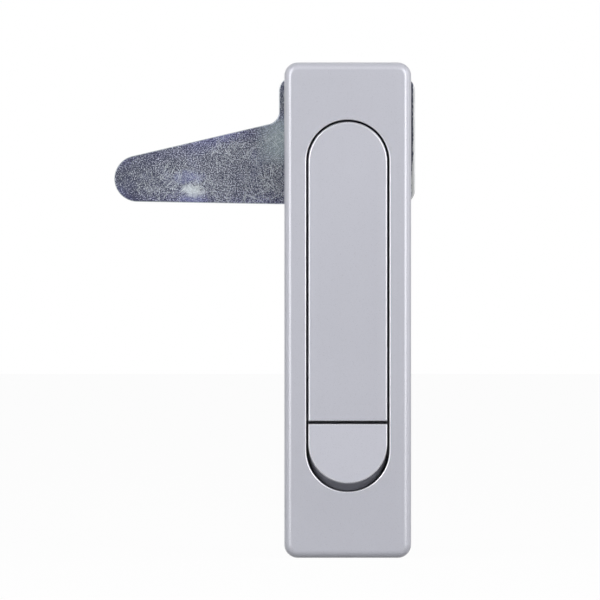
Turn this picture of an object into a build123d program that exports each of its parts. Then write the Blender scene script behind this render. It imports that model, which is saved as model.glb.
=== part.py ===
"""Flush swing handle lock for a sheet-metal cabinet door.

A die-cast housing drops through a round-ended cut-out in the door. A long handle and a push button fill
its recess. The handle hinges on a yoke at the top of the recess, springs out when the button draws the
catch, and turns the spindle, which carries a steel cam behind the door.

Frame: +Z up along the lock, -Y out of the door, +X to the right as seen from outside.
The origin is on the spindle's axis, in the plane of the door's outer surface. Units are millimetres.
"""

from build123d import *
from math import cos, radians, sin, sqrt, tan
import os

# ---- Driving dimensions ------------------------------------------------------------------------

# Housing
flange_width = 32.0
flange_above = 25.0
flange_below = 27.2
flange_height = 6.0
flange_corner = 3.4
flange_edge_round = 2.0
flange_skin = 2.0
gasket_thickness = 1.0
gasket_margin = 0.5
recess_radius = 10.5
recess_reach = 72.8
recess_depth = 14.0
recess_edge_round = 0.3
dish_wall = 2.0
dish_floor = 2.0
dish_back_round = 1.2
back_rib_height = 1.2
back_rib_width = 1.2
back_rib_count = 4
boss_radius = 9.5
boss_length = 8.0
boss_bore_radius = 7.25
stop_rim_height = 1.3

# Fixing holes in the housing, tapped M4
fixing_above = 18.5
fixing_below = 18.7
fixing_hole_radius = 1.65
fixing_hole_depth = 4.0
fixing_boss_radius = 4.0
fixing_rib_width = 1.4

# Handle
handle_gap = 0.5
handle_depth = 10.0
handle_wall = 2.0
handle_skin = 2.2
handle_edge_round = 0.3
handle_rib_width = 1.4
handle_rib_drop = 2.0
handle_rib_count = 4
knuckle_radius = 2.3
knuckle_slot_half = 7.0
knuckle_slot_skin = 1.2
nose_plate = 2.9
nose_slot_margin = 1.8
grip_margin = 0.5
lift_angle = 45.0
swing_clearance = 0.3
nose_clearance = 0.2
catch_window_half = 2.4

# Hinge
pin_depth = 3.2
pin_radius = 1.0
pin_inset = 0.2
press_gap = 0.02
running_gap = 0.05
ear_radius = 1.85
ear_inner = 4.4
ear_outer = 6.8
ear_gusset = 1.2
yoke_disc_radius = 10.1
yoke_disc_thickness = 2.9
yoke_disc_chamfer = 0.4
yoke_neck_radius = 7.15
yoke_neck_length = 3.9
wire_sides = 6
handle_wire_radius = 0.4
handle_coil_radius = 1.5
handle_coil_turns = 6.25
handle_coil_pitch = 0.82
handle_leg_length = 9.5

# Spindle and what it carries
spindle_radius = 6.0
spindle_square = 8.0
square_corner = 0.5
tenon_radius = 4.0
tenon_length = 2.9
shoulder_proud = 0.2
bush_radius = 7.2
oring_wire_radius = 0.85
oring_centre_radius = 5.17
oring_place = 2.4
yoke_screw_radius = 2.0
yoke_screw_head_radius = 3.6
yoke_screw_length = 8.5
cross_recess_reach = 2.0
cross_recess_width = 0.8
cross_recess_depth = 1.4
stop_washer_radius = 6.7
stop_washer_thickness = 1.3
stop_tab_reach = 9.2
stop_tab_width = 4.6
turn_angle = 90.0
cam_thickness = 2.5
cam_half_width = 17.4
cam_above = 22.2
cam_below = 10.4
cam_corner = 3.6
cam_reach = 59.6
cam_tip_radius = 5.9
cam_slope = 13.2
cam_low_slope = 1.0
cam_crotch_radius = 3.4
square_gap = 0.1
cam_edge_break = 0.35
washer_radius = 8.0
washer_thickness = 1.4
washer_gap = 0.2
lock_washer_radius = 5.8
lock_washer_thickness = 1.6
lock_washer_split = 1.0
bolt_radius = 3.0
bolt_head_flats = 10.0
bolt_head_height = 4.0
bolt_grip = 6.0
bolt_end_gap = 0.5
bolt_crown_drop = 0.5
bolt_crown_margin = 0.2

# Push button and catch
button_gap = 0.55
button_low = 0.35
button_rise = 6.6
button_split = 0.75
button_depth = 8.0
button_wall = 1.6
button_skin = 2.0
button_scoop = 2.1
button_scoop_depth = 3.6
button_edge_round = 0.3
button_stroke = 3.0
button_open_half = 4.2
leg_inner = 4.9
leg_width = 2.4
leg_height = 2.6
leg_drop = 4.5
barb_reach = 1.0
barb_height = 1.4
leg_gap = 0.2
spring_peg_radius = 0.9
button_spring_place = 6.1
button_spring_drop = 0.8
button_spring_radius = 1.55
button_wire_radius = 0.25
button_spring_turns = 7
catch_ratio = 0.6
catch_half = 3.8
catch_thickness = 2.6
catch_drop = 1.0
catch_end_wall = 1.2
catch_lift = 0.1
beak_half = 1.9
beak_front = 7.6
beak_width = 1.5
beak_clear = 0.3
ramp_inner = 2.2
ramp_rise = 3.3
ramp_drop = 1.8
ramp_rib_width = 0.4
ramp_gap = 0.1
catch_slot_half = 1.6
catch_screw_drop = 4.8
catch_screw_radius = 1.5
catch_screw_head_radius = 2.7
catch_screw_head = 1.8
catch_screw_head_round = 0.6
catch_screw_slot = 0.6
catch_screw_slot_depth = 0.9
catch_thread_radius = 1.2
catch_wire_radius = 0.2
catch_spring_radius = 1.05
catch_spring_turns = 4
bumper_half = 6.5
bumper_width = 2.6
bumper_sink = 0.6
bumper_gap = 0.3

# ---- Levels and places that follow ---------------------------------------------------------------

rim_y = -gasket_thickness
face_y = rim_y - flange_height
floor_y = face_y + recess_depth
dish_back_y = floor_y + dish_floor
boss_end_y = dish_back_y + boss_length
flange_length = flange_above + recess_reach + flange_below
flange_mid_z = flange_above - flange_length / 2
dish_radius = recess_radius + dish_wall
fixing_places = (fixing_above, -recess_reach - fixing_below)

button_top_z = -recess_reach + button_rise
handle_length = -button_top_z - button_split
handle_radius = recess_radius - handle_gap
handle_rear_y = face_y + handle_depth
pin_y = face_y + pin_depth

yoke_back_y = floor_y - catch_lift
yoke_top_y = yoke_back_y - yoke_disc_thickness
yoke_neck_end_y = yoke_back_y + yoke_neck_length
tenon_top_y = yoke_neck_end_y + catch_lift - tenon_length
spindle_start_y = yoke_neck_end_y + catch_lift
shoulder_y = boss_end_y + shoulder_proud
cam_front_y = shoulder_y + stop_washer_thickness
cam_back_y = cam_front_y + cam_thickness
washer_back_y = cam_back_y + washer_thickness
lock_washer_back_y = washer_back_y + lock_washer_thickness
spindle_end_y = cam_back_y - shoulder_proud

button_radius = recess_radius - button_gap
button_rear_y = face_y + button_depth
catch_back_y = floor_y - catch_lift
catch_front_y = catch_back_y - catch_thickness
catch_top_z = button_top_z - catch_drop
catch_screw_z = -recess_reach - catch_screw_drop
catch_bottom_z = catch_screw_z - catch_screw_radius - catch_lift - catch_end_wall
ramp_z = catch_top_z - ramp_drop
catch_travel = button_stroke * catch_ratio
leg_top_z = -recess_reach - leg_drop + leg_height / 2


# ---- Helpers -----------------------------------------------------------------------------------

def prism(sketch, y_start, y_end):
    """Extrudes a sketch drawn in X and Z from one level of Y to another."""
    return extrude(Plane.XZ.offset(-y_start) * sketch, -(y_end - y_start))


def slab(sketch, x_start, x_end):
    """Extrudes a sketch drawn in Y and Z from one X to another."""
    return extrude(Plane.YZ.offset(x_start) * sketch, x_end - x_start)


def rod(radius, start, end):
    """A round bar between two points."""
    axis = Vector(*end) - Vector(*start)
    return extrude(Plane(origin=start, z_dir=axis) * Circle(radius), axis.length)


def bar_y(radius, y_start, y_end, x=0.0, z=0.0):
    """A round bar along Y."""
    return rod(radius, (x, y_start, z), (x, y_end, z))


def stadium(radius):
    """The round-ended outline of the recess, at any radius about its two centres."""
    return Pos(0, -recess_reach / 2) * SlotCenterToCenter(recess_reach, 2 * radius, rotation=90)


def patch(x_low, x_high, z_low, z_high):
    """A rectangle given by its sides."""
    return Pos((x_low + x_high) / 2, (z_low + z_high) / 2) * Rectangle(x_high - x_low, z_high - z_low)


def both_sides(shape):
    """The shape with its mirror image across the lock's middle plane."""
    return shape + mirror(shape, about=Plane.YZ)


def edges_at_y(shape, y):
    """The edges that lie wholly at one level of Y."""
    return shape.edges().filter_by_position(Axis.Y, y - 0.001, y + 0.001)


def coil(radius, wire_radius, length, turns):
    """A helical spring along +Z from the origin, with its wire inside the given length."""
    path = Helix(pitch=(length - 2 * wire_radius) / turns, height=length - 2 * wire_radius, radius=radius)
    path = Pos(0, 0, wire_radius) * path
    return sweep(Plane(origin=path @ 0, z_dir=path % 0) * RegularPolygon(wire_radius, wire_sides), path=path)


# ---- Housing -------------------------------------------------------------------------------------

def flange():
    """The plate that shows on the door, rounded on its outer edge and hollowed behind at both ends."""
    outline = Pos(0, flange_mid_z) * RectangleRounded(flange_width, flange_length, flange_corner)
    plate = prism(outline, face_y, rim_y)
    plate = fillet(edges_at_y(plate, face_y), flange_edge_round)
    inner = Pos(0, flange_mid_z) * RectangleRounded(
        flange_width - 2 * flange_skin, flange_length - 2 * flange_skin, flange_corner - flange_skin)
    plate -= prism(inner - stadium(dish_radius + flange_skin / 2), face_y + flange_skin, rim_y)
    for z in fixing_places:
        plate += bar_y(fixing_boss_radius, face_y + flange_skin / 2, rim_y, z=z)
        rib = patch(-flange_width / 2 + flange_skin / 2, flange_width / 2 - flange_skin / 2,
                    z - fixing_rib_width / 2, z + fixing_rib_width / 2)
        plate += prism(rib, face_y + flange_skin / 2, rim_y - flange_skin / 2)
    return plate


def dish():
    """The round-ended tub behind the door, ribbed on its back, with the spindle's boss."""
    tub = prism(stadium(dish_radius), face_y + flange_edge_round, dish_back_y)
    tub = fillet(edges_at_y(tub, dish_back_y), dish_back_round)
    boss = bar_y(boss_radius, dish_back_y - dish_floor / 2, boss_end_y)
    rib_half = dish_radius - dish_back_round
    pitch = (-leg_top_z - boss_radius) / (back_rib_count + 1)
    for n in range(back_rib_count):
        z = -boss_radius - pitch * (n + 1)
        rib = patch(-rib_half, rib_half, z - back_rib_width / 2, z + back_rib_width / 2)
        tub += prism(rib, dish_back_y - dish_floor / 2, dish_back_y + back_rib_height)
    spine_low = -boss_radius - pitch * back_rib_count
    spine = patch(-back_rib_width / 2, back_rib_width / 2, spine_low, -(boss_bore_radius + boss_radius) / 2)
    tub += prism(spine, dish_back_y - dish_floor / 2, dish_back_y + back_rib_height)
    return tub + boss


def stop_rim():
    """The raised ring on the boss, open where the stop washer's tab travels."""
    tab_half = stop_tab_width / 2 + swing_clearance
    slot = patch(0, 2 * boss_radius, -tab_half, tab_half)
    far = 2 * boss_radius
    steps = [radians(turn_angle * k / 4) for k in range(5)]
    sector = make_face(Polyline((0, 0), *[(far * cos(a), far * sin(a)) for a in steps], (0, 0)))
    ring = Circle(boss_radius) - Circle(stop_washer_radius + swing_clearance)
    gap = slot + sector + Rot(0, 0, turn_angle) * slot
    return prism(ring - gap, boss_end_y - stop_rim_height / 2, boss_end_y + stop_rim_height)


def on_recess_lip(edge):
    """Whether an edge of the face bounds the recess."""
    centre = edge.center()
    return abs(centre.X) < dish_radius and abs(centre.Z + recess_reach / 2) < recess_reach / 2 + dish_radius


def housing():
    """The one-piece die casting."""
    body = flange() + dish() + stop_rim()
    body -= prism(stadium(recess_radius), face_y, floor_y)
    body = fillet(edges_at_y(body, face_y).filter_by(on_recess_lip), recess_edge_round)
    body -= bar_y(boss_bore_radius, floor_y, boss_end_y)
    for z in fixing_places:
        body -= bar_y(fixing_hole_radius, rim_y - fixing_hole_depth, rim_y, z=z)
    # Floor of the recess under the button: two leg slots, two spring pegs and the catch screw's hole
    leg_slot = patch(leg_inner - leg_gap, leg_inner + leg_width + leg_gap,
                     leg_top_z - leg_height - leg_gap, leg_top_z + leg_gap)
    body -= both_sides(prism(leg_slot, floor_y, dish_back_y))
    peg = bar_y(spring_peg_radius, floor_y - catch_thickness / 2, floor_y + dish_floor / 2,
                button_spring_place, -recess_reach + button_spring_drop)
    body += both_sides(peg)
    body -= bar_y(catch_thread_radius + running_gap, floor_y, dish_back_y, z=catch_screw_z)
    body -= prism(bumper_outline(running_gap), floor_y, floor_y + bumper_sink)
    return body


def door_gasket():
    """Flat rubber ring between the flange and the door, with holes for the fixing screws."""
    outline = Pos(0, flange_mid_z) * RectangleRounded(
        flange_width - 2 * gasket_margin, flange_length - 2 * gasket_margin, flange_corner - gasket_margin)
    ring = outline - stadium(dish_radius + running_gap)
    for z in fixing_places:
        ring -= Pos(0, z) * Circle(fixing_hole_radius + 2 * gasket_margin)
    return prism(ring, rim_y, 0)


def bumper_outline(grow=0.0):
    """The bumper's outline, under the handle's end wall."""
    z_low = -handle_length + handle_wall / 2 - bumper_width / 2
    return patch(-bumper_half - grow, bumper_half + grow, z_low - grow, z_low + bumper_width + grow)


def handle_bumper():
    """Rubber strip that the closed handle's end rests on."""
    return prism(bumper_outline(), handle_rear_y + bumper_gap, floor_y + bumper_sink)


# ---- Handle and its hinge ------------------------------------------------------------------------

def relief_z(y):
    """Where the grip has to start, at a level behind the pin, for the lifted handle to swing over the flange."""
    lift = radians(lift_angle)
    return -(pin_depth + swing_clearance) / sin(lift) - (y - pin_y) / tan(lift)


def handle_profile():
    """The handle from the side: thin nose, round knuckle, and a grip cut back to swing clear of the flange."""
    nose_rear = face_y + nose_plate
    outline = Polyline(
        (face_y, handle_radius),
        (nose_rear, handle_radius),
        (nose_rear, relief_z(nose_rear)),
        (handle_rear_y, relief_z(handle_rear_y)),
        (handle_rear_y, -handle_length),
        (face_y, -handle_length),
        (face_y, handle_radius),
    )
    return make_face(outline) + Pos(pin_y, 0) * Circle(knuckle_radius)


def nose_room():
    """The space the handle keeps to: a ball about the pin's centre, drawn out along the grip, and all behind."""
    reach = recess_radius - nose_clearance
    middle_z = -handle_length / 2
    room = Pos(0, pin_y, 0) * Sphere(reach) + Pos(0, pin_y, middle_z) * Cylinder(reach, handle_length)
    return room + Pos(0, pin_y + handle_depth / 2, middle_z) * Box(2 * reach, handle_depth, handle_length)


def handle():
    """Die-cast lever, open behind, with cheeks for the hinge pin and a window for the catch."""
    plan = Circle(handle_radius) + patch(-handle_radius, handle_radius, -handle_length, 0)
    body = prism(plan, face_y, handle_rear_y) & slab(handle_profile(), -handle_radius, handle_radius)
    body = body & nose_room()
    body = fillet(edges_at_y(body, face_y), handle_edge_round)
    inner_half = handle_radius - handle_wall
    grip_top = relief_z(handle_rear_y) - grip_margin
    grip = patch(-inner_half, inner_half, -handle_length + handle_wall, grip_top)
    grip = fillet(grip.vertices(), handle_wall / 2)
    body -= prism(grip, face_y + handle_skin, handle_rear_y)
    slot = patch(-knuckle_slot_half, knuckle_slot_half, grip_top - handle_wall, knuckle_radius + nose_slot_margin)
    body -= prism(slot, face_y + knuckle_slot_skin, handle_rear_y)
    pitch = (handle_length + grip_top - handle_wall) / (handle_rib_count + 1)
    for n in range(handle_rib_count):
        z = grip_top - pitch * (n + 1)
        rib = patch(-inner_half - handle_wall / 2, inner_half + handle_wall / 2,
                    z - handle_rib_width / 2, z + handle_rib_width / 2)
        body += prism(rib, face_y + handle_skin / 2, handle_rear_y - handle_rib_drop)
    spine = patch(-handle_rib_width / 2, handle_rib_width / 2, -handle_length + handle_wall / 2, grip_top - pitch)
    body += prism(spine, face_y + handle_skin / 2, handle_rear_y - handle_rib_drop - pin_depth / 2)
    body -= rod(pin_radius + press_gap, (-handle_radius, pin_y, 0), (handle_radius, pin_y, 0))
    window = patch(-catch_window_half, catch_window_half, -handle_length, -handle_length + handle_wall)
    window_y = face_y + beak_front - beak_width - swing_clearance
    body -= prism(window, window_y, window_y + beak_width + 2 * swing_clearance)
    return body


def hinge_pin():
    """Steel pin through the handle's cheeks and the yoke's ears."""
    end = handle_radius - pin_inset
    pin = rod(pin_radius, (-end, pin_y, 0), (end, pin_y, 0))
    return chamfer(pin.edges().filter_by(GeomType.CIRCLE), pin_inset)


def hinge_yoke():
    """Round turntable in the recess with two ears for the pin and a neck in the boss."""
    disc = bar_y(yoke_disc_radius, yoke_top_y, yoke_back_y)
    disc = chamfer(edges_at_y(disc, yoke_top_y), yoke_disc_chamfer)
    ear = Pos(pin_y, 0) * Circle(ear_radius)
    ear += patch(pin_y, yoke_top_y + yoke_disc_thickness / 2, -ear_radius, ear_radius)
    foot, root = yoke_top_y - ear_gusset, yoke_top_y + ear_gusset
    wide = ear_radius + ear_gusset
    ear += make_face(Polyline((foot, ear_radius), (foot, -ear_radius), (yoke_top_y, -wide), (root, -wide),
                              (root, wide), (yoke_top_y, wide), (foot, ear_radius)))
    yoke = disc + both_sides(slab(ear, ear_inner, ear_outer))
    yoke += bar_y(yoke_neck_radius, yoke_back_y, yoke_neck_end_y)
    yoke -= rod(pin_radius + running_gap, (-ear_outer, pin_y, 0), (ear_outer, pin_y, 0))
    yoke -= bar_y(tenon_radius + running_gap, tenon_top_y - catch_lift, yoke_neck_end_y)
    yoke -= screw_cone(running_gap)
    return yoke


def screw_cone(grow=0.0):
    """The countersunk head and shank of the yoke's screw, or the hole for it."""
    head, shank = yoke_screw_head_radius + grow, yoke_screw_radius + grow
    cone_end = yoke_top_y + yoke_screw_head_radius - yoke_screw_radius
    end = tenon_top_y - catch_lift if grow else yoke_top_y + yoke_screw_length
    half = Polyline(
        (0, yoke_top_y), (head, yoke_top_y), (shank, cone_end), (shank, end), (0, end), (0, yoke_top_y))
    return revolve(make_face(half), Axis.Y)


def yoke_screw():
    """Countersunk screw that holds the yoke on the spindle, with a cross recess."""
    screw = screw_cone()
    for turn in (0, 90):
        slot = Rot(0, 0, turn) * Rectangle(2 * cross_recess_reach, cross_recess_width)
        screw -= prism(slot, yoke_top_y, yoke_top_y + cross_recess_depth)
    return screw


def handle_spring():
    """Torsion spring round the pin: one leg behind the handle's face, the other on the yoke."""
    height = handle_coil_pitch * handle_coil_turns
    path = Helix(pitch=handle_coil_pitch, height=height, radius=handle_coil_radius, lefthand=True)
    path = Pos(-height / 2, pin_y, 0) * Rot(-90, 0, 0) * Rot(0, 90, 0) * path
    section = Plane(origin=path @ 0, z_dir=path % 0) * RegularPolygon(handle_wire_radius, wire_sides)
    spring = sweep(section, path=path)
    front, back = path @ 0, path @ 1
    spring += rod(handle_wire_radius, front, front - (path % 0) * handle_leg_length)
    back_reach = yoke_top_y - running_gap - handle_wire_radius / 2 - back.Y
    return spring + rod(handle_wire_radius, back, back + (path % 1) * back_reach)


# ---- Spindle and cam -----------------------------------------------------------------------------

def spindle():
    """Turned shaft: tenon in the yoke, journal in the bush, square end for the cam."""
    body = bar_y(tenon_radius, tenon_top_y, spindle_start_y) + bar_y(spindle_radius, spindle_start_y, shoulder_y)
    square = fillet(Rectangle(spindle_square, spindle_square).vertices(), square_corner)
    body += prism(square, shoulder_y, spindle_end_y)
    groove_y = spindle_start_y + oring_place
    groove = Circle(spindle_radius) - Circle(oring_centre_radius - oring_wire_radius)
    body -= prism(groove, groove_y - oring_wire_radius - running_gap, groove_y + oring_wire_radius + running_gap)
    body -= bar_y(yoke_screw_radius + running_gap, tenon_top_y, yoke_top_y + yoke_screw_length + running_gap)
    body -= bar_y(bolt_radius + running_gap, spindle_end_y - bolt_grip, spindle_end_y)
    return body


def spindle_bush():
    """Moulded bearing between the spindle and the boss."""
    return prism(Circle(bush_radius) - Circle(spindle_radius + running_gap),
                 spindle_start_y + catch_lift, boss_end_y - catch_lift)


def spindle_oring():
    """Rubber ring in the spindle's groove."""
    section = Pos(oring_centre_radius, spindle_start_y + oring_place) * Circle(oring_wire_radius)
    return revolve(section, Axis.Y)


def stop_washer():
    """Keyed washer whose tab meets the stops on the boss at each end of the turn."""
    plate = Circle(stop_washer_radius) + patch(0, stop_tab_reach, -stop_tab_width / 2, stop_tab_width / 2)
    plate -= Rectangle(spindle_square + 2 * square_gap, spindle_square + 2 * square_gap)
    return prism(plate, shoulder_y, cam_front_y)


def cam_outline():
    """The pawl plate: a wide hub with a tapering arm along its lower edge."""
    hub = Pos(0, (cam_above - cam_below) / 2) * RectangleRounded(
        2 * cam_half_width, cam_above + cam_below, cam_corner)
    slope, low_slope = radians(cam_slope), radians(cam_low_slope)
    tip_x = -cam_reach + cam_tip_radius
    tip_z = -cam_below - (tip_x + cam_half_width) * tan(low_slope) + cam_tip_radius / cos(low_slope)
    shoulder = (tip_x - cam_tip_radius * sin(slope), tip_z + cam_tip_radius * cos(slope))
    heel = (tip_x - cam_tip_radius * sin(low_slope), tip_z - cam_tip_radius * cos(low_slope))
    arm = make_face(Polyline(
        (tip_x, tip_z), heel, (-cam_half_width, -cam_below), (0, -cam_below),
        (0, shoulder[1] - shoulder[0] * tan(slope)), shoulder, (tip_x, tip_z)))
    crotch = (-cam_half_width, shoulder[1] - (shoulder[0] + cam_half_width) * tan(slope))
    plate = hub + arm
    plate = fillet(plate.vertices().sort_by_distance(crotch)[0], cam_crotch_radius)
    return plate + Pos(tip_x, tip_z) * Circle(cam_tip_radius)


def cam():
    """Blanked steel pawl with a square hole, its edges rolled by the punch."""
    hole = Rectangle(spindle_square + 2 * square_gap, spindle_square + 2 * square_gap)
    plate = prism(cam_outline(), cam_front_y, cam_back_y)
    plate = fillet(edges_at_y(plate, cam_front_y), cam_edge_break)
    return plate - prism(hole, cam_front_y, cam_back_y)


def cam_washer():
    """Plain washer under the bolt."""
    return prism(Circle(washer_radius) - Circle(bolt_radius + washer_gap), cam_back_y, washer_back_y)


def cam_lock_washer():
    """Split spring washer."""
    ring = Circle(lock_washer_radius) - Circle(bolt_radius + washer_gap)
    split = patch(0, 2 * lock_washer_radius, -lock_washer_split / 2, lock_washer_split / 2)
    return prism(ring - split, washer_back_y, lock_washer_back_y)


def cam_bolt():
    """Hexagon bolt that holds the cam on the spindle's square."""
    head_back_y = lock_washer_back_y + bolt_head_height
    corner = bolt_head_flats / sqrt(3)
    head = prism(RegularPolygon(corner, 6), lock_washer_back_y, head_back_y)
    crown = Polyline((0, lock_washer_back_y), (corner + running_gap, lock_washer_back_y),
                     (corner + running_gap, head_back_y - bolt_crown_drop),
                     (bolt_head_flats / 2 - bolt_crown_margin, head_back_y), (0, head_back_y),
                     (0, lock_washer_back_y))
    head = head & revolve(make_face(crown), Axis.Y)
    return head + bar_y(bolt_radius, spindle_end_y - bolt_grip + bolt_end_gap, lock_washer_back_y)


# ---- Push button and catch -----------------------------------------------------------------------

def button_outline(radius, raise_centre=0.0):
    """The D shape of the button: straight on top, round below."""
    centre = -recess_reach - button_low + raise_centre
    return Pos(0, centre) * Circle(radius) + patch(-radius, radius, centre, button_top_z) \
        - patch(-radius, radius, button_top_z, button_top_z + 2 * radius)


def push_button():
    """Moulded button: a scooped lower edge, two wedge ribs for the catch and two barbed legs."""
    body = prism(button_outline(button_radius), face_y, button_rear_y)
    scoop = Plane.XZ.offset(-face_y) * button_outline(button_radius, button_scoop)
    slant = Vector(0, button_scoop_depth, -button_scoop)
    cut = extrude(scoop, amount=slant.length * button_depth / button_scoop_depth, dir=slant.normalized())
    full_z = -recess_reach - button_low + button_scoop
    cut += prism(patch(-button_radius, button_radius, full_z, button_top_z), face_y, button_rear_y)
    body = body & cut
    body = fillet(edges_at_y(body, face_y), button_edge_round)
    inner = button_outline(button_radius - button_wall, button_scoop / 4) \
        - patch(-button_radius, button_radius, button_top_z - button_wall, button_top_z)
    inner += patch(-button_open_half, button_open_half, button_top_z - 2 * button_wall, button_top_z)
    body -= prism(inner, face_y + button_skin, button_rear_y)
    rib = slab(ramp_rib(), ramp_inner + ramp_gap, catch_half - ramp_gap)
    barb_y = dish_back_y + ramp_gap
    leg = prism(patch(leg_inner, leg_inner + leg_width, leg_top_z - leg_height, leg_top_z),
                face_y + button_skin, barb_y + barb_height)
    hook = make_face(Polyline((leg_inner, barb_y), (leg_inner + leg_width + barb_reach, barb_y),
                              (leg_inner + leg_width, barb_y + barb_height), (leg_inner, barb_y + barb_height),
                              (leg_inner, barb_y)))
    leg += extrude(Pos(0, 0, leg_top_z - leg_height) * hook, leg_height)
    peg = bar_y(spring_peg_radius, face_y + button_skin / 2, face_y + button_skin + 2 * spring_peg_radius,
                button_spring_place, -recess_reach + button_spring_drop)
    return body + both_sides(rib + leg + peg)


def ramp_rib():
    """The button's wedge rib from the side. Its slanted end rides on the catch's ramp."""
    tip_y = catch_front_y - button_stroke - ramp_gap
    gap = ramp_gap * sqrt(1 + catch_ratio**2)
    low_y = tip_y - button_stroke
    tip_z = ramp_z - catch_ratio * (catch_front_y - tip_y) + gap
    low_z = tip_z - catch_travel
    root_y = face_y + button_skin / 2
    top_z = ramp_z + ramp_rib_width
    return make_face(Polyline((root_y, top_z), (tip_y, top_z), (tip_y, tip_z), (low_y, low_z), (root_y, low_z),
                              (root_y, top_z)))


def catch_slide():
    """The catch: a plate on the recess floor with a beak for the handle and two ramps for the button."""
    base = prism(patch(-catch_half, catch_half, catch_bottom_z, catch_top_z), catch_front_y, catch_back_y)
    beak_y = face_y + beak_front - beak_width
    beak_rear = beak_y + beak_width
    beak_top_z = -sqrt(handle_length**2 + (handle_rear_y - pin_y) ** 2) - beak_clear
    post_low_z = catch_top_z - beak_width - catch_lift
    profile = make_face(Polyline(
        (catch_back_y, catch_top_z), (catch_back_y, post_low_z), (beak_y, post_low_z),
        (beak_y, catch_top_z), (beak_y + beak_width / 2, beak_top_z), (beak_rear, beak_top_z),
        (beak_rear, catch_top_z), (catch_back_y, catch_top_z)))
    base += slab(profile, -beak_half, beak_half)
    low_z = ramp_z - ramp_rise
    ramp = make_face(Polyline(
        (catch_front_y, ramp_z), (catch_front_y, low_z), (catch_front_y - ramp_rise, low_z),
        (catch_front_y - ramp_rise, ramp_z - catch_ratio * ramp_rise), (catch_front_y, ramp_z)))
    base += both_sides(slab(ramp, ramp_inner, catch_half))
    slot_low = catch_screw_z - catch_screw_radius - catch_lift
    slot_high = ramp_z - ramp_rise - catch_lift
    return base - prism(patch(-catch_slot_half, catch_slot_half, slot_low, slot_high), catch_front_y, catch_back_y)


def catch_screw():
    """Shoulder screw that guides the catch and backs its spring."""
    head_y = catch_front_y - catch_lift
    top_y = head_y - catch_screw_head
    screw = bar_y(catch_screw_head_radius, top_y, head_y, z=catch_screw_z)
    screw = fillet(edges_at_y(screw, top_y), catch_screw_head_round)
    screw += bar_y(catch_screw_radius, head_y, floor_y, z=catch_screw_z)
    screw += bar_y(catch_thread_radius, floor_y, dish_back_y - catch_lift, z=catch_screw_z)
    slot = patch(-catch_screw_head_radius, catch_screw_head_radius,
                 catch_screw_z - catch_screw_slot / 2, catch_screw_z + catch_screw_slot / 2)
    return screw - prism(slot, top_y, top_y + catch_screw_slot_depth)


def catch_spring():
    """Compression spring in the catch's slot, above the shoulder screw."""
    low_z = catch_screw_z + catch_screw_radius + running_gap
    high_z = ramp_z - ramp_rise - catch_lift - running_gap
    spring = coil(catch_spring_radius, catch_wire_radius, high_z - low_z, catch_spring_turns)
    return Pos(0, catch_front_y + catch_thickness / 2, low_z) * spring


def button_springs():
    """Two compression springs between the recess floor and the button."""
    start_y = face_y + button_skin + running_gap
    length = floor_y - running_gap - start_y
    spring = coil(button_spring_radius, button_wire_radius, length, button_spring_turns)
    spring = Rot(-90, 0, 0) * spring
    z = -recess_reach + button_spring_drop
    return Compound([Pos(x, start_y, z) * spring for x in (-button_spring_place, button_spring_place)])


# ---- Export ----------------------------------------------------------------------------------------

makers = (
    housing, door_gasket, handle_bumper, handle, hinge_pin, hinge_yoke, yoke_screw, handle_spring, spindle,
    spindle_bush, spindle_oring, stop_washer, cam, cam_washer, cam_lock_washer, cam_bolt, push_button,
    catch_slide, catch_screw, catch_spring, button_springs,
)

os.makedirs("parts", exist_ok=True)
for make in makers:
    export_step(make(), f"parts/{make.__name__}.step")
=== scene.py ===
"""Finishes, springs and studio for a flush swing handle lock.

Every length is in metres, in the frame of the lock: +Z up along it, -Y out of the door, and the
origin on the spindle's axis at the door's outer surface.
"""

from math import pi

import bmesh
import bpy
from mathutils import Matrix, Vector


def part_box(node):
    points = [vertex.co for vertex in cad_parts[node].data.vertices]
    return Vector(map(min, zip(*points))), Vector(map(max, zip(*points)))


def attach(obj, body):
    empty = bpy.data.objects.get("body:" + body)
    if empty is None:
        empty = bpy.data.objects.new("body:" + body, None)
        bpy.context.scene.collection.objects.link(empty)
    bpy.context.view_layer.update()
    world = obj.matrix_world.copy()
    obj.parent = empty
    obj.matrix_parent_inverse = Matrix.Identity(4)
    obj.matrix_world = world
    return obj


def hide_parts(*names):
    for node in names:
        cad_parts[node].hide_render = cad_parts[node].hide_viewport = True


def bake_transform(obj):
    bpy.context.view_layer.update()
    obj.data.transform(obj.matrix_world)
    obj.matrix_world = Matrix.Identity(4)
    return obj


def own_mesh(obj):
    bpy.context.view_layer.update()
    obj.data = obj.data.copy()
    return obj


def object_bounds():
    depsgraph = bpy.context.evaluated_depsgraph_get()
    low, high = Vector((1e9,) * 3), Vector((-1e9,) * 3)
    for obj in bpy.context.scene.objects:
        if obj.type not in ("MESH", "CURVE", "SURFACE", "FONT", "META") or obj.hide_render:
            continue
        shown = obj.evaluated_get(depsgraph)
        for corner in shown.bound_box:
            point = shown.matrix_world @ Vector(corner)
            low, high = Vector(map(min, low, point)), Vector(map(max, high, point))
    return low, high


bl_info = {
    "name": "Swing handle lock finish",
    "version": (1, 0, 0),
    "blender": (4, 5, 0),
    "location": "View3D > Sidebar > Lock",
    "description": "Finishes, springs and a studio for a flush swing handle lock",
    "category": "Object",
}

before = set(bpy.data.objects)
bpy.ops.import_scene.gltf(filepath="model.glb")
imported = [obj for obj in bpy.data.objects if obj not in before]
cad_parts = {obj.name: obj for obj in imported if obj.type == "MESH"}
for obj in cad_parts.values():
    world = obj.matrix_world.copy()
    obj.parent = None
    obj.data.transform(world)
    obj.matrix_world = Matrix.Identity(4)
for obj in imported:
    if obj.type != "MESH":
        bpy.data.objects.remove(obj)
cad_low, cad_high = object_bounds()
mm = 0.001


def middle_of(node):
    """The middle of a piece's box."""
    low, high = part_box(node)
    return (low + high) / 2


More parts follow.
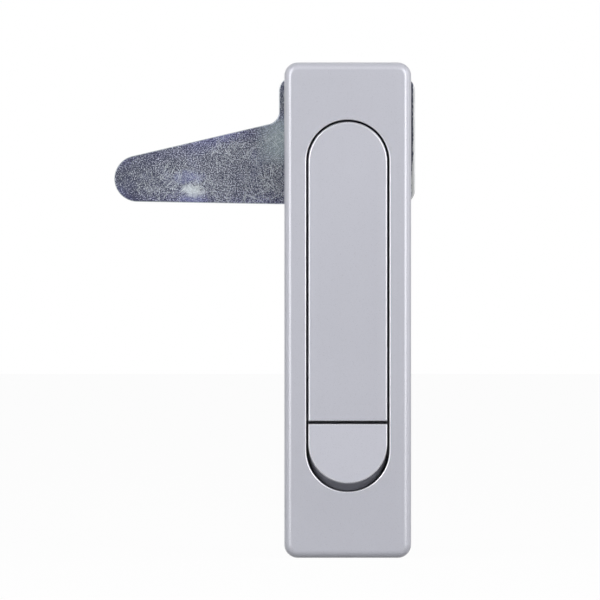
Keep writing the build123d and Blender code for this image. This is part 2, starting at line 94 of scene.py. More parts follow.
housing_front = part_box("housing")[0].y
gasket_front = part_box("door_gasket")[0].y
button_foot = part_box("push_button")[0].z
handle_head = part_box("handle")[1].z
pin_mid = middle_of("hinge_pin")
cam_mid = middle_of("cam")


# ---- Sizes and colours that a user would change --------------------------------------------------

def colour(name, description, default):
    """A colour property."""
    return bpy.props.FloatVectorProperty(name=name, description=description, default=default,
                                         subtype="COLOR", size=3, min=0, max=1)


def number(name, description, default, **limits):
    """A property of one number, such as a place, a power or a count of turns."""
    return bpy.props.FloatProperty(name=name, description=description, default=default, **limits)


def length(name, description, default):
    """A length property."""
    return number(name, description, default, unit="LENGTH", min=0, precision=6)


class FinishSettings(bpy.types.PropertyGroup):
    """Colours of the finishes."""

    silver: colour("Silver", "Satin paint of the housing, handle and button", (0.53, 0.535, 0.598))
    # Lighter than the silver: bare metal, and a painted highlight on the rounded edges.
    bare_edge_and_highlight: colour("Bare edge", "Metal that shows where the paint is thin", (0.68, 0.68, 0.70))
    zinc_light: colour("Zinc, light", "Lightest grains of the plated steel", (0.54, 0.565, 0.64))
    # Also the painted shadow line where the housing shades the cam.
    zinc_dark: colour("Zinc, dark", "Darkest grains of the plated steel", (0.035, 0.038, 0.062))
    zinc_blue: colour("Zinc, blue", "Blue clouds of the film", (0.12, 0.13, 0.27))
    zinc_violet: colour("Zinc, violet", "Tint of the film along the edges", (0.74, 0.71, 1.0))
    # A painted highlight on the cam's rounded edge, on the side away from the arm.
    zinc_edge_highlight: colour("Zinc, edge", "Bright edge that the shears left", (0.42, 0.43, 0.43))
    # The colour of a painted sheen on the arm beside the housing.
    zinc_teal: colour("Zinc, teal", "Sheen beside the housing", (0.33, 0.40, 0.42))
    # Also a painted highlight on the cam's side-facing rims.
    zinc_rubbed_and_highlight: colour("Zinc, rubbed", "Where the plate is rubbed bright", (0.61, 0.66, 0.67))
    bolt_blue: colour("Bolt, blue", "Clear zinc plate where it is blue", (0.50, 0.53, 0.60))
    bolt_yellow: colour("Bolt, yellow", "Clear zinc plate where it is yellow", (0.60, 0.60, 0.55))
    rubber: colour("Rubber", "Gasket, bumper and O-ring", (0.018, 0.018, 0.019))
    bare_zinc: colour("Bare casting", "Yoke and catch", (0.40, 0.40, 0.41))
    steel: colour("Bright steel", "Pins and screws", (0.50, 0.50, 0.51))
    wire: colour("Spring wire", "Drawn spring wire", (0.22, 0.22, 0.24))
    bush: colour("Bush", "Moulded bearing", (0.72, 0.71, 0.66))


class SpringSettings(bpy.types.PropertyGroup):
    """Sizes of the springs' wire and turns."""

    handle_wire: length("Handle spring wire", "Radius of the torsion spring's wire", 0.4 * mm)
    handle_radius: length("Handle spring radius", "Radius of the torsion spring's turns", 1.5 * mm)
    handle_turns: number("Handle spring turns", "Turns round the pin", 6.25, min=1)
    handle_leg: length("Handle spring leg", "Length of the leg behind the handle's face", 9.5 * mm)
    button_wire: length("Button spring wire", "Radius of the button springs' wire", 0.25 * mm)
    button_turns: number("Button spring turns", "Turns of each button spring", 7, min=1)
    catch_wire: length("Catch spring wire", "Radius of the catch spring's wire", 0.2 * mm)
    catch_turns: number("Catch spring turns", "Turns of the catch spring", 4, min=1)


class StageSettings(bpy.types.PropertyGroup):
    """Camera and lights."""

    distance: length("Camera distance", "From the lock's front to the camera", 1.6)
    view_width: length("View width", "Width of the view at the lock's front", 151.2 * mm)
    aim_x: number("Aim X", "Middle of the view, across", -12.05 * mm, unit="LENGTH", precision=6)
    aim_z: number("Aim Z", "Middle of the view, up", -34.95 * mm, unit="LENGTH", precision=6)
    key_power: number("Key", "Power of the soft light above", 2.72, unit="POWER", min=0)
    strip_power: number("Strips", "Power of each side strip", 4.8, unit="POWER", min=0)
    wing_power: bpy.props.FloatVectorProperty(
        name="Wings", description="Power of the panels at the left and right",
        default=(1.9, 3.6), size=2, unit="POWER", min=0)
    sky: number("Sky", "Level of the light from all round, above", 0.09, min=0)
    ground: number("Ground", "Level of the light from all round, below", 0.02, min=0)


# ---- Shader helpers ------------------------------------------------------------------------------

# The noise patterns: cells to the metre, detail, roughness and distortion. The two with one cell
# to the metre lie on coordinates that `stretched` has scaled.
PATTERNS = {
    "paint_clouds": (28.0, 3.0, 0.5, 0.0),
    "paint_flake": (5200.0, 1.0, 0.5, 0.0),
    "paint_peel": (420.0, 2.0, 0.5, 0.0),
    "dusty_back": (900.0, 4.0, 0.6, 0.0),
    "zinc_grain": (3300.0, 1.5, 0.6, 0.0),
    "zinc_patches": (500.0, 2.0, 0.5, 0.0),
    "zinc_clouds": (110.0, 3.0, 0.6, 0.0),
    "zinc_ragged": (1200.0, 2.0, 0.5, 0.0),
    "spot_rim": (700.0, 3.0, 0.5, 0.0),
    "scratch_bend": (90.0, 1.0, 0.5, 0.0),
    "scratch_lines": (1.0, 1.0, 0.4, 0.0),
    "scratch_areas": (130.0, 1.0, 0.5, 0.0),
    "bolt_film": (240.0, 2.0, 0.5, 0.0),
    "bolt_marks": (1500.0, 3.0, 0.6, 0.0),
    "rubber_bloom": (160.0, 4.0, 0.6, 0.0),
    "rubber_pebble": (2400.0, 2.0, 0.5, 0.0),
    "casting_flow": (260.0, 4.0, 0.6, 1.2),
    "casting_sand": (3000.0, 2.0, 0.5, 0.0),
    "turned_wear": (420.0, 3.0, 0.5, 0.0),
    "drawn_lines": (1.0, 2.0, 0.5, 0.0),
    "drawn_marks": (700.0, 3.0, 0.5, 0.0),
    "wire_film": (900.0, 3.0, 0.5, 0.0),
    "wire_skin": (4000.0, 1.0, 0.5, 0.0),
    "bush_tone": (300.0, 3.0, 0.5, 0.0),
    "bush_matt": (3200.0, 2.0, 0.5, 0.0),
    "floor_grain": (60.0, 2.0, 0.5, 0.0),
}


def opaque(rgb):
    """A colour with its alpha."""
    return (*rgb, 1.0)


def shade(rgb, factor):
    """A colour made darker or lighter."""
    return opaque(c * factor for c in rgb)


class Nodes:
    """The nodes of a material or world, with a short call for each kind."""

    def __init__(self, owner, coordinates):
        owner.use_nodes = True
        self.tree = owner.node_tree
        outputs = self.add("ShaderNodeTexCoord").outputs
        self.place, self.facing = outputs[coordinates], outputs["Normal"]

    def add(self, kind, inputs=None, **settings):
        """Adds a node. An input is a value, or the socket that feeds it."""
        made = self.tree.nodes.new(kind)
        for name, value in settings.items():
            setattr(made, name, value)
        for socket, value in (inputs or {}).items():
            self.feed(made.inputs[socket], value)
        return made

    def feed(self, socket, value):
        """Sets a socket's value, or links it."""
        if isinstance(value, bpy.types.NodeSocket):
            self.tree.links.new(value, socket)
        else:
            socket.default_value = value

    def math(self, kind, first, second=0.0, third=0.0):
        """One step of arithmetic."""
        made = self.add("ShaderNodeMath", {0: first, 1: second, 2: third}, operation=kind)
        return made.outputs[0]

    def times(self, first, second):
        """The product of two values."""
        return self.math("MULTIPLY", first, second)

    def span(self, value, low, high, to_low=0.0, to_high=1.0):
        """The value mapped from one span to another, clamped."""
        return self.add("ShaderNodeMapRange", {
            "Value": value, "From Min": low, "From Max": high,
            "To Min": to_low, "To Max": to_high}).outputs["Result"]

    def axis(self, letter, vector=None):
        """One coordinate of the surface, or of another vector."""
        return self.add("ShaderNodeSeparateXYZ", {0: vector or self.place}).outputs[letter]

    def vector(self, kind, first, second):
        """One step of arithmetic on vectors."""
        return self.add("ShaderNodeVectorMath", {0: first, 1: second}, operation=kind).outputs[0]

    def lens_rays(self):
        """1 for camera, glossy and transmission rays, else 0."""
        path = self.add("ShaderNodeLightPath").outputs
        seen = self.math("MAXIMUM", path["Is Camera Ray"], path["Is Glossy Ray"])
        return self.math("MAXIMUM", seen, path["Is Transmission Ray"])


class Recipe(Nodes):
    """A material's nodes, with the calls that a finish needs."""

    def __init__(self, name):
        self.material = bpy.data.materials.new(name)
        super().__init__(self.material, "Object")

    def noise(self, pattern, place=None, output="Fac"):
        """One of the noise patterns over the surface, from 0 to 1."""
        scale, detail, roughness, distortion = PATTERNS[pattern]
        return self.add("ShaderNodeTexNoise", {
            "Vector": place or self.place, "Scale": scale, "Detail": detail,
            "Roughness": roughness, "Distortion": distortion}).outputs[output]

    def stretched(self, scale, turn=(0, 0, 0), shift=(0, 0, 0), place=None):
        """The surface's coordinates, turned and shifted, then scaled by axis."""
        mapped = self.add("ShaderNodeMapping", {
            "Vector": place or self.place, "Rotation": turn, "Location": shift})
        return self.vector("MULTIPLY", mapped.outputs[0], scale)

    def mix(self, amount, first, second, blend="MIX"):
        """A mix of two colours."""
        made = self.add("ShaderNodeMix", data_type="RGBA", blend_type=blend)
        for socket, value in (("Factor", amount), (6, first), (7, second)):
            self.feed(made.inputs[socket], value)
        return made.outputs[2]

    def shades(self, amount, rgb, dark, light):
        """A mix of two shades of a colour."""
        return self.mix(amount, shade(rgb, dark), shade(rgb, light))

    def bump(self, height, strength, distance, under=None):
        """A bump, laid over another if one is given."""
        inputs = {"Height": height, "Strength": strength, "Distance": distance}
        if under is not None:
            inputs["Normal"] = under
        return self.add("ShaderNodeBump", inputs).outputs["Normal"]

    def finish(self, **sockets):
        """Feeds the shader by its sockets' names, with an underscore for each space."""
        shader = self.tree.nodes["Principled BSDF"]
        for name, value in sockets.items():
            self.feed(shader.inputs[name.replace("_", " ")], value)
        return self.material

    def mix_shaders(self, amount, first, second):
        """A mix of two shader nodes."""
        return self.add("ShaderNodeMixShader", {
            0: amount, 1: first.outputs[0], 2: second.outputs[0]})


def dress(material, *nodes):
    """Gives CAD pieces their material."""
    for name in nodes:
        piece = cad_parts[name]
        piece.data.materials.clear()
        piece.data.materials.append(material)


# ---- Silver paint --------------------------------------------------------------------------------

# Each painted casting, how light its paint is, and how light its sides are painted: on the button,
# a painted shade on its sides and scoop below the front, where the recess shades them.
PAINTED = (("housing", 1.0, 1.0), ("handle", 1.02, 1.0), ("push_button", 1.12, 0.4))
PAINTED_SHADE_FROM = (0.35 * mm, 0.7 * mm)   # behind the front: where the painted shade begins, and where it is full
BACK_FADE = 0.2 * mm                 # half the width over which the paint turns dusty behind

# Shades, as factors of the paint's colour, and what the shader gets with them.
CLOUD_SHADES, DUST_SHADES = (0.975, 1.02), (0.62, 0.86)
FLAKE_SHARE, FLAKE_SHADE = 0.10, 1.25
PAINT_ROUGHNESS, DUST_ROUGHER, WORN_SMOOTHER = (0.26, 0.34), 0.14, 0.1
PAINT_METALLIC = (0.08, 0.7)         # where the paint is whole, and where it is worn

# Where the paint is thin and lighter: wear, and a painted highlight on the rounded edges. A pair is
# where it begins and where it is full.
EDGE_TURN = (0.99, 0.93)             # how squarely a rounded edge faces the front
SIDE_TURN = (0.03, 0.3)              # how squarely it faces sideways
WEAR_AND_HIGHLIGHT_ON_ENDS = 0.3                   # the wear and painted highlight on edges that face up or down, where the side lamps give little
WEAR_AND_HIGHLIGHT_DEPTH = (0.36 * mm, 0.26 * mm)  # behind the casting's front
GRIP_ASIDE = (12.8 * mm, 12.2 * mm)  # from the lock's middle line
GRIP_BELOW = 3.5 * mm                # beyond the button's foot
GRIP_ABOVE = 1.5 * mm                # beyond the handle's head
GRIP_FADE = 0.5 * mm
RIM_TURN_IN = (0.998, 0.985)         # how squarely an outer edge faces the front, where its
RIM_TURN_OUT = (0.88, 0.94)          # rounding begins and where the wear on it ends
RIM_WEAR_AND_HIGHLIGHT = 0.14


def worn_edge_and_highlight(r, front):
    """How thin the paint is, and a painted highlight with it: 1 on the rounded edges round the
    grip, less on outer edges, else 0.
    """
    ahead = r.math("ABSOLUTE", r.axis("Y", r.facing))
    sideways = r.math("ABSOLUTE", r.axis("X", r.facing))
    across = r.span(sideways, *SIDE_TURN, WEAR_AND_HIGHLIGHT_ON_ENDS, 1.0)
    rounded = r.times(r.span(ahead, *EDGE_TURN), across)
    shallow = r.span(r.axis("Y"), *(front + depth for depth in WEAR_AND_HIGHLIGHT_DEPTH))
    x, z = r.math("ABSOLUTE", r.axis("X")), r.axis("Z")
    low, high = button_foot - GRIP_BELOW, handle_head + GRIP_ABOVE
    level = r.times(r.span(z, low - GRIP_FADE, low), r.span(z, high + GRIP_FADE, high))
    grip = r.times(r.span(x, *GRIP_ASIDE), level)
    rim = r.times(r.span(ahead, *RIM_TURN_IN), r.span(ahead, *RIM_TURN_OUT))
    rim = r.times(r.times(rim, across), r.span(grip, 0.0, 1.0, RIM_WEAR_AND_HIGHLIGHT, 0.0))
    return r.math("MAXIMUM", r.times(r.times(rounded, shallow), grip), rim)


def silver_paint(settings, node, level, painted_shade_level):
    """Satin silver paint: clouds, flake, orange peel, a dusty back, thin edges with a painted
    highlight, and painted shade on the sides.
    """
    r = Recipe(node + "_paint")
    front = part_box(node)[0].y
    silver = [c * level for c in settings.silver]
    clouds = r.span(r.noise("paint_clouds"), 0.3, 0.7)
    flake = r.noise("paint_flake")
    base = r.shades(clouds, silver, *CLOUD_SHADES)
    base = r.mix(r.span(flake, 0.35, 0.75, 0.0, FLAKE_SHARE), base, shade(silver, FLAKE_SHADE))
    # Painted shade: below the front, the sides and scoop are darkened where the recess shades them.
    if painted_shade_level < 1:
        sides = r.span(r.axis("Y"), *(front + depth for depth in PAINTED_SHADE_FROM))
        base = r.mix(sides, base, shade(silver, painted_shade_level))
    behind = r.span(r.axis("Y"), gasket_front - BACK_FADE, gasket_front + BACK_FADE)
    dust = r.noise("dusty_back")
    base = r.mix(behind, base, r.shades(r.span(dust, 0.35, 0.7), silver, *DUST_SHADES))
    wear_and_highlight = worn_edge_and_highlight(r, front)
    # Lighter on the edges: worn paint, and a painted highlight.
    base = r.mix(wear_and_highlight, base, opaque(settings.bare_edge_and_highlight))
    rough = r.span(flake, 0.2, 0.8, *PAINT_ROUGHNESS)
    rough = r.math("ADD", rough, r.times(behind, DUST_ROUGHER))
    rough = r.math("SUBTRACT", rough, r.times(wear_and_highlight, WORN_SMOOTHER))
    normal = r.bump(r.noise("paint_peel"), strength=0.06, distance=0.05 * mm)
    normal = r.bump(r.times(dust, behind), strength=0.5, distance=0.06 * mm, under=normal)
    return r.finish(Base_Color=base, Roughness=rough, Normal=normal,
                    Metallic=r.span(wear_and_highlight, 0.0, 1.0, *PAINT_METALLIC),
                    Specular_IOR_Level=0.45, Coat_Weight=0.25, Coat_Roughness=0.21)


# ---- Mottled zinc plate of the cam ---------------------------------------------------------------

# Places on the cam, from the spindle's axis. A pair is where a zone begins and where it is full.
ARM_UPPER_EDGE = (0.2345, 14.78 * mm)    # slope, and height at the axis
ARM_LOWER_EDGE = (-0.0175, -10.70 * mm)
INSIDE_EDGES = (0.8 * mm, 4.0 * mm)      # inwards from the arm's edges, where the violet fades
LUG = (12 * mm, 14 * mm)                 # up, past the arm's upper edge
TIP = (-42 * mm, -56 * mm)               # across, towards the arm's end
FRONT_FADE = 0.1 * mm                    # half the width over which the front's marks end

# Middles and half sizes of the spots, across and up.
BLUE_SPOTS = ((-40.4 * mm, -3.5 * mm), (-39.6 * mm, -9.4 * mm), (-32.2 * mm, 7.5 * mm))
BLUE_SPOT_SIZE = (4.5 * mm, 2.2 * mm)
RUBBED_SPOT = (-39.5 * mm, -7.0 * mm)
RUBBED_SPOT_SIZE = (3.4 * mm, 2.2 * mm)
SPOT_WANDER, SPOT_CORE = 0.3, 0.3        # of the rim, and the full part, in half sizes

# A painted teal sheen on the arm, beside the housing.
SHEEN_LEFT, SHEEN_RIGHT = (-24 * mm, -18 * mm), (-15 * mm, -16 * mm)
SHEEN_LOW, SHEEN_HIGH = (-1 * mm, 3 * mm), (13 * mm, 10 * mm)

# At the side away from the arm: a painted shadow line where the housing shades the cam, then a
# painted highlight on its rounded edge.
SHADOW_AND_HIGHLIGHT_RISE = (-3 * mm, 2 * mm)           # up, where the painted shadow and highlight change
PAINTED_SHADOW_LINE = (15.2 * mm, 16.0 * mm)
PAINTED_SHADOW_LEVEL = (0.35, 0.95)
PAINTED_HIGHLIGHT_FROM = (16.4 * mm, 16.8 * mm)  # across, below and above the change
PAINTED_HIGHLIGHT_FADE, PAINTED_HIGHLIGHT_LEVEL = 0.17 * mm, 0.93
RAGGED = 0.12 * mm                       # how far the marks' edges wander, to each side

# Tumbling scratches: the direction of each set about Y, and its shift in millimetres.
SCRATCH_SETS = ((0.5, 0.0), (-0.9, 3.1), (1.3, 7.7), (-0.25, 5.2), (0.95, 9.4), (-1.4, 12.3))
SCRATCH_CELLS = (290.0, 290.0, 4600.0)   # to the metre, along and across a scratch
SCRATCH_SWAY = (3 * mm, 0, 3 * mm)
SCRATCH_LEVELS = (0.65, 0.72)            # of the pattern, where a scratch begins and is full
SCRATCHED_LEAST = 0.1                    # between the areas that tumbling scratched most

# How strong the parts of the plate's look are, from 0 to 1.
GRAIN_SHARE, PATCH_SHARE = 0.93, 0.07
TIP_DARKER, LUG_AS_TIP = 0.045, 0.7
VIOLET, BLUE_CLOUDS, BLUE_SPOT, TEAL = 0.7, 0.35, 0.5, 0.5
RUBBED, RUBBED_RIM_AND_HIGHLIGHT, SCRATCHES, SCRATCHES_AT_TIP = 0.5, 0.6, 0.42, 0.5


def edge_depth(r):
    """How far in a point of the cam lies from the nearer of the arm's upper and lower edges."""
    x, z = r.axis("X"), r.axis("Z")
    upper = r.math("MULTIPLY_ADD", x, *ARM_UPPER_EDGE)
    lower = r.math("MULTIPLY_ADD", x, *ARM_LOWER_EDGE)
    return r.math("MINIMUM", r.math("SUBTRACT", upper, z), r.math("SUBTRACT", z, lower))


def spot(r, middle, size):
    """A soft spot on the cam, 1 in its middle and 0 outside, with a ragged rim."""
    (x, z), (wide, high) = middle, size
    moved = r.vector("ADD", r.place, (-x, 0, -z))
    scaled = r.vector("MULTIPLY", moved, (1 / wide, 0, 1 / high))
    away = r.add("ShaderNodeVectorMath", {0: scaled}, operation="LENGTH").outputs["Value"]
    wander = r.span(r.noise("spot_rim"), 0.3, 0.7, -SPOT_WANDER, SPOT_WANDER)
    return r.span(r.math("ADD", away, wander), 1.0, SPOT_CORE)


def scratched(r):
    """Short, slightly bent tumbling scratches in several directions."""
    bend = r.noise("scratch_bend", output="Color")
    bent = r.vector("ADD", r.place, r.vector("MULTIPLY", bend, SCRATCH_SWAY))
    found = None
    for turn, shift in SCRATCH_SETS:
        across = r.stretched(SCRATCH_CELLS, (0, turn, 0), (shift * mm, 0, shift * mm), bent)
        line = r.span(r.noise("scratch_lines", across), *SCRATCH_LEVELS)
        found = line if found is None else r.math("MAXIMUM", found, line)
    return r.times(found, r.span(r.noise("scratch_areas"), 0.38, 0.58, SCRATCHED_LEAST, 1.0))


def passivated(r, settings, base, lug):
    """The film over the grains: violet along the edges, blue clouds and spots; and a painted teal
    sheen beside the housing.
    """
    x, z, cloud = r.axis("X"), r.axis("Z"), r.noise("zinc_clouds")
    near_edge = r.times(r.span(edge_depth(r), *INSIDE_EDGES, 1.0, 0.0),
                        r.span(cloud, 0.35, 0.55, 0.3, 1.0))
    near_edge = r.times(near_edge, r.math("SUBTRACT", 1.0, lug))
    violet = r.mix(1.0, base, opaque(settings.zinc_violet), "MULTIPLY")
    base = r.mix(r.times(near_edge, VIOLET), base, violet)
    blue = opaque(settings.zinc_blue)
    base = r.mix(r.span(cloud, 0.52, 0.68, 0.0, BLUE_CLOUDS), base, r.mix(0.5, base, blue))
    for middle in BLUE_SPOTS:
        base = r.mix(r.times(spot(r, middle, BLUE_SPOT_SIZE), BLUE_SPOT), base, blue)
    # Painted sheen: teal on the arm beside the housing.
    beside = r.times(r.span(x, *SHEEN_LEFT), r.span(x, *SHEEN_RIGHT))
    sheen = r.times(beside, r.times(r.span(z, *SHEEN_LOW), r.span(z, *SHEEN_HIGH)))
    return r.mix(r.times(sheen, TEAL), base, opaque(settings.zinc_teal))


def painted_shadow_and_highlight(r, settings, base):
    """A painted shadow line where the housing shades the cam, and a painted highlight on the
    rounded edge, at the side away from the arm.
    """
    z = r.axis("Z")
    wander = r.span(r.noise("zinc_ragged"), 0.3, 0.7, -RAGGED, RAGGED)
    across = r.math("ADD", r.axis("X"), wander)
    in_front = r.span(r.axis("Y"), cam_mid.y + FRONT_FADE, cam_mid.y - FRONT_FADE)
    # Painted shadow: a dark line where the housing shades the cam.
    dark = r.times(r.span(across, *PAINTED_SHADOW_LINE), r.span(z, *SHADOW_AND_HIGHLIGHT_RISE, *PAINTED_SHADOW_LEVEL))
    base = r.mix(r.times(dark, in_front), base, opaque(settings.zinc_dark))
    # Painted highlight: a bright line on the rounded edge.
    highlight_from = r.span(z, *SHADOW_AND_HIGHLIGHT_RISE, *PAINTED_HIGHLIGHT_FROM)
    bright = r.span(r.math("SUBTRACT", across, highlight_from),
                    0.0, PAINTED_HIGHLIGHT_FADE, 0.0, PAINTED_HIGHLIGHT_LEVEL)
    return r.mix(r.times(bright, in_front), base, opaque(settings.zinc_edge_highlight))


def zinc_plate(settings):
    """Mottled zinc plate: grains, a tinted film with a painted sheen, scratches, rubbed spots, rims
    rubbed and with a painted highlight, and a painted shadow line and highlight at the far edge.
    """
    r = Recipe("mottled_zinc_plate")
    grain, patch = r.noise("zinc_grain"), r.noise("zinc_patches")
    lug = r.span(r.axis("Z"), *LUG)
    darker = r.math("MAXIMUM", r.span(r.axis("X"), *TIP), r.times(lug, LUG_AS_TIP))
    tone = r.math("ADD", r.times(grain, GRAIN_SHARE), r.times(patch, PATCH_SHARE))
    tone = r.math("SUBTRACT", tone, r.times(darker, TIP_DARKER))
    base = r.mix(r.span(tone, 0.47, 0.72), opaque(settings.zinc_dark), opaque(settings.zinc_light))
    base = passivated(r, settings, base, lug)
    rubbed = r.times(spot(r, RUBBED_SPOT, RUBBED_SPOT_SIZE), RUBBED)
    # Side-facing rims lighter: rubbed plate, and a painted highlight on the edges.
    rim = r.times(r.span(r.math("ABSOLUTE", r.axis("Y", r.facing)), 0.95, 0.7), RUBBED_RIM_AND_HIGHLIGHT)
    scratches = r.times(scratched(r), r.span(darker, 0.0, 1.0, 1.0, SCRATCHES_AT_TIP))
    for bare in (rubbed, rim, r.times(scratches, SCRATCHES)):
        base = r.mix(bare, base, opaque(settings.zinc_rubbed_and_highlight))
    normal = r.bump(grain, strength=0.25, distance=0.03 * mm)
    normal = r.bump(scratches, strength=0.3, distance=0.01 * mm, under=normal)
    return r.finish(Base_Color=painted_shadow_and_highlight(r, settings, base), Metallic=0.85, Normal=normal,
                    Roughness=r.span(patch, 0.2, 0.8, 0.34, 0.55))


# ---- Other finishes ------------------------------------------------------------------------------

DRAWN_CELLS = (120.0, 2600.0, 2600.0)  # cells to the metre along and across drawn steel


def bolt_plate(settings):
    """Clear zinc plate: even and bright, faintly blue and yellow, with handling marks."""
    r = Recipe("clear_zinc_plate")
    marks = r.noise("bolt_marks")
    film = r.span(r.noise("bolt_film"), 0.35, 0.65)
    base = r.mix(film, opaque(settings.bolt_blue), opaque(settings.bolt_yellow))
    base = r.mix(r.span(marks, 0.5, 0.75, 0.0, 0.6), base, shade(settings.steel, 0.5))
    return r.finish(Base_Color=base, Metallic=0.9, Roughness=r.span(marks, 0.3, 0.7, 0.24, 0.42),
                    Normal=r.bump(marks, strength=0.15, distance=0.02 * mm))


def black_rubber(settings):
    """Moulded rubber with a faint bloom and dust."""
    r = Recipe("black_rubber")
    bloom = r.span(r.noise("rubber_bloom"), 0.45, 0.75)
    pebble = r.noise("rubber_pebble")
    return r.finish(Base_Color=r.shades(bloom, settings.rubber, 1.0, 2.6),
                    Roughness=r.span(pebble, 0.2, 0.8, 0.62, 0.82),
                    Normal=r.bump(pebble, strength=0.4, distance=0.04 * mm))


def bare_casting(settings):
    """Zinc die casting as it leaves the die: cloudy, with flow marks and a fine sandy grain."""
    r = Recipe("bare_zinc_casting")
    flow = r.noise("casting_flow")
    return r.finish(Base_Color=r.shades(r.span(flow, 0.3, 0.7), settings.bare_zinc, 0.82, 1.12),
                    Metallic=0.8, Roughness=r.span(flow, 0.3, 0.7, 0.38, 0.56),
                    Normal=r.bump(r.noise("casting_sand"), strength=0.35, distance=0.02 * mm))


def turned_steel(settings):
    """Turned bar: fine rings left by the tool, across the shaft and round its ends."""
    r = Recipe("turned_steel")
    rings = r.add("ShaderNodeTexWave", {"Vector": r.place, "Scale": 900.0, "Distortion": 0.6,
                                        "Detail": 1.0}, bands_direction="Y").outputs["Fac"]
    wear = r.noise("turned_wear")
    return r.finish(Base_Color=r.shades(r.span(wear, 0.3, 0.75), settings.steel, 0.82, 1.1),
                    Metallic=1.0, Roughness=r.span(wear, 0.3, 0.7, 0.24, 0.36),
                    Normal=r.bump(rings, strength=0.2, distance=0.01 * mm))


def bright_steel(settings):
    """Bright drawn steel for the pin and screws, with drawing lines and handling marks."""
    r = Recipe("bright_steel")
    lines = r.noise("drawn_lines", r.stretched(DRAWN_CELLS))
    marks = r.noise("drawn_marks")
    return r.finish(Base_Color=r.shades(r.span(marks, 0.35, 0.7), settings.steel, 0.85, 1.12),
                    Metallic=1.0, Roughness=r.span(marks, 0.3, 0.7, 0.2, 0.32),
                    Normal=r.bump(lines, strength=0.15, distance=0.01 * mm))


def spring_wire(settings):
    """Drawn spring wire with a dark oil film."""
    r = Recipe("spring_wire")
    film = r.noise("wire_film")
    return r.finish(Base_Color=r.shades(r.span(film, 0.35, 0.7), settings.wire, 0.6, 1.25),
                    Metallic=1.0, Roughness=r.span(film, 0.3, 0.7, 0.26, 0.42),
                    Normal=r.bump(r.noise("wire_skin"), strength=0.2, distance=0.008 * mm))


def bush_plastic(settings):
    """Off-white bearing plastic, slightly translucent and finely matted by its mould."""
    r = Recipe("bearing_plastic")
    tone = r.span(r.noise("bush_tone"), 0.3, 0.7)
    matt = r.noise("bush_matt")
    return r.finish(Base_Color=r.shades(tone, settings.bush, 0.93, 1.03),
                    Roughness=r.span(matt, 0.2, 0.8, 0.4, 0.52),
                    Normal=r.bump(matt, strength=0.2, distance=0.01 * mm),
                    Subsurface_Weight=0.1, Subsurface_Scale=0.4 * mm)


class LOCK_OT_casting(bpy.types.Operator):
    """Paint the housing, handle and button"""

    bl_idname = "lock.casting"
    bl_label = "Painted castings"

    def execute(self, context):
        for node, level, painted_shade_level in PAINTED:
            dress(silver_paint(context.scene.lock_finish, node, level, painted_shade_level), node)
        return {"FINISHED"}


class LOCK_OT_plated(bpy.types.Operator):
    """Plate the cam and what fastens it"""

    bl_idname = "lock.plated"
    bl_label = "Plated steel"

    def execute(self, context):
        finish = context.scene.lock_finish
        dress(zinc_plate(finish), "cam")
        dress(bolt_plate(finish), "stop_washer", "cam_washer", "cam_lock_washer", "cam_bolt")
        return {"FINISHED"}


class LOCK_OT_hinge(bpy.types.Operator):
    """Finish the yoke, catch, pin, screws and spindle"""

    bl_idname = "lock.hinge"
    bl_label = "Hinge, catch and spindle"

    def execute(self, context):
        finish = context.scene.lock_finish
        dress(bare_casting(finish), "hinge_yoke", "catch_slide")
        dress(bright_steel(finish), "hinge_pin", "yoke_screw", "catch_screw")
        dress(turned_steel(finish), "spindle")
        dress(bush_plastic(finish), "spindle_bush")
        return {"FINISHED"}


class LOCK_OT_rubber(bpy.types.Operator):
    """Finish the gasket, bumper and O-ring"""

    bl_idname = "lock.rubber"
    bl_label = "Rubber"

    def execute(self, context):
        rubber = black_rubber(context.scene.lock_finish)
        dress(rubber, "door_gasket", "handle_bumper", "spindle_oring")
        return {"FINISHED"}


# ---- Mesh helpers --------------------------------------------------------------------------------

WIRE_SIDES = 10
STEPS_PER_TURN, FEWEST_STEPS = 28, 4


def put_in_scene(name, data):
    """Makes an object of a mesh, lamp or camera."""
    made = bpy.data.objects.new(name, data)
    bpy.context.scene.collection.objects.link(made)
    return made


def mesh_from(name, bm):
    """Turns a bmesh into a mesh."""
    mesh = bpy.data.meshes.new(name)
    bm.to_mesh(mesh)
    bm.free()
    return mesh


def make_piece(name, bm, material):
    """Turns a bmesh into a finished piece."""
    bmesh.ops.recalc_face_normals(bm, faces=bm.faces)
    mesh = mesh_from(name, bm)
    mesh.shade_smooth()
    mesh.materials.append(material)
    piece = put_in_scene(name, mesh)
    return piece


def edges_among(bm, ring):
    """The edges whose ends are both in a ring of vertices."""
    return [edge for edge in bm.edges if all(v in ring for v in edge.verts)]


def wind_wire(bm, radius, wire, turns, rise, start=0.0, hand=1):
    """Winds a round wire about Z from z = 0. Returns the rings of vertices at its two ends."""
    first = bmesh.ops.create_circle(bm, radius=wire, segments=WIRE_SIDES)["verts"]
    upright = Matrix.Rotation(pi / 2, 4, "X")
    out = Matrix.Rotation(start, 4, "Z") @ Matrix.Translation((radius, 0, 0)) @ upright
    bmesh.ops.transform(bm, matrix=out, verts=first)
    steps = max(FEWEST_STEPS, round(turns * STEPS_PER_TURN))
    wound = bmesh.ops.spin(bm, geom=edges_among(bm, first), cent=(0, 0, 0), axis=(0, 0, 1),
                           dvec=(0, 0, rise / steps), angle=hand * 2 * pi * turns, steps=steps)
    return first, [v for v in wound["geom_last"] if isinstance(v, bmesh.types.BMVert)]


def extend_wire(bm, ring, along):
    """Draws a wire's end out along a vector."""
    drawn = bmesh.ops.extrude_edge_only(bm, edges=edges_among(bm, ring))["geom"]
    ends = [v for v in drawn if isinstance(v, bmesh.types.BMVert)]
    bmesh.ops.translate(bm, vec=along, verts=ends)


def close_ends(bm):
    """Closes a wire's open ends."""
    bmesh.ops.holes_fill(bm, edges=[e for e in bm.edges if e.is_boundary], sides=0)


# ---- Springs -------------------------------------------------------------------------------------

